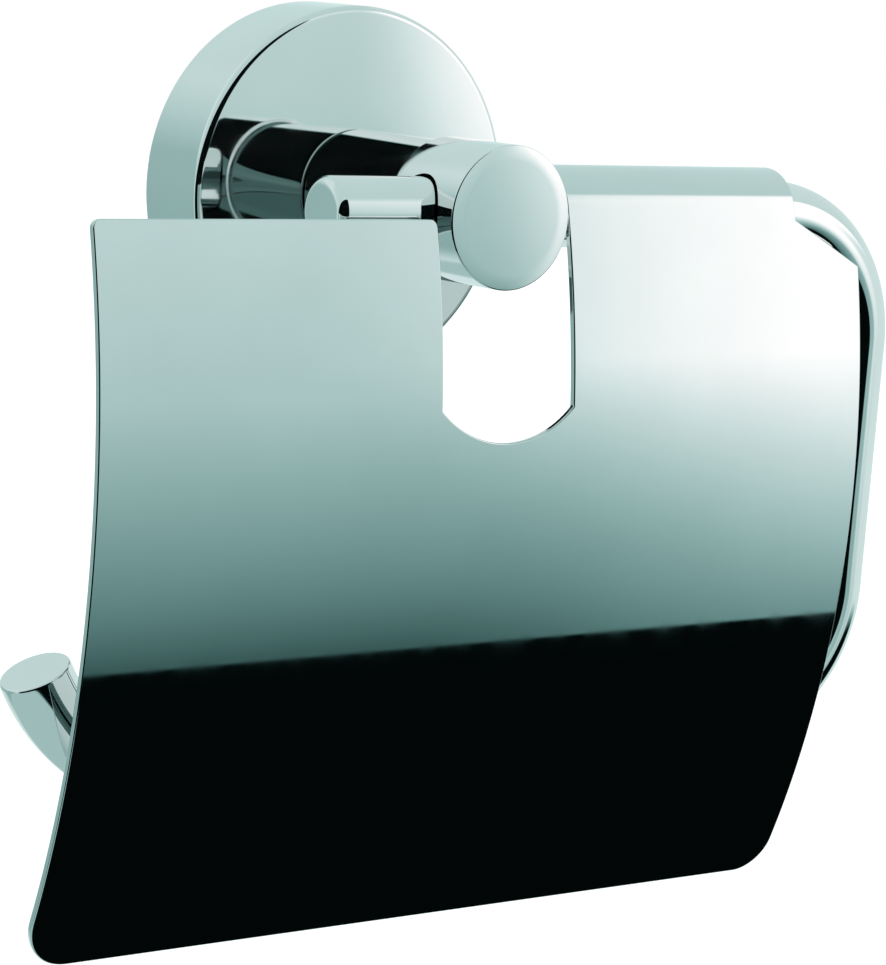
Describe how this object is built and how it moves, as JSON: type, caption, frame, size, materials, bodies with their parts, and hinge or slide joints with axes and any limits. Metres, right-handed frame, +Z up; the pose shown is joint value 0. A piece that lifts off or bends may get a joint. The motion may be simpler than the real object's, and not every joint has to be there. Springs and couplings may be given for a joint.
{
  "type": "toilet paper holder",
  "caption": "Wall-mounted toilet paper holder: round rosette, short post, bent round arm open at one end, and a bowed hinged lid.",
  "frame": {"origin": "centre of the wall plate's back face, on the wall", "axes": "+Y into the wall, +X along the hinge bar towards the arm's bend, +Z up"},
  "size_m": [0.1512, 0.0804, 0.1311],
  "materials": {
    "chrome": "mirror-polished chrome plating",
    "steel": "plain stainless steel",
    "zinc_steel": "zinc-plated steel",
    "nylon": "moulded nylon",
    "soft_plastic": "clear soft plastic"
  },
  "bodies": {
    "holder": {"wall_plate": "zinc_steel", "wall_screw_upper": "steel", "wall_screw_lower": "steel", "wall_plug_upper": "nylon", "wall_plug_lower": "nylon", "rosette": "chrome", "rosette_set_screw": "steel", "post": "chrome", "post_bolt": "steel", "post_washer": "steel", "post_dowel_pin": "steel", "arm_bar": "chrome", "arm_set_screw": "steel"},
    "lid": {"lid": "chrome", "lid_hinge_liner": "nylon", "lid_buffer_left": "soft_plastic", "lid_buffer_right": "soft_plastic"}
  },
  "joints": [
    {"name": "lid_hinge", "type": "hinge", "parent": "holder", "child": "lid", "pos_m": [0, -0.0439, 0], "axis": [-1, 0, 0], "range_deg": [0, 200]}
  ]
}
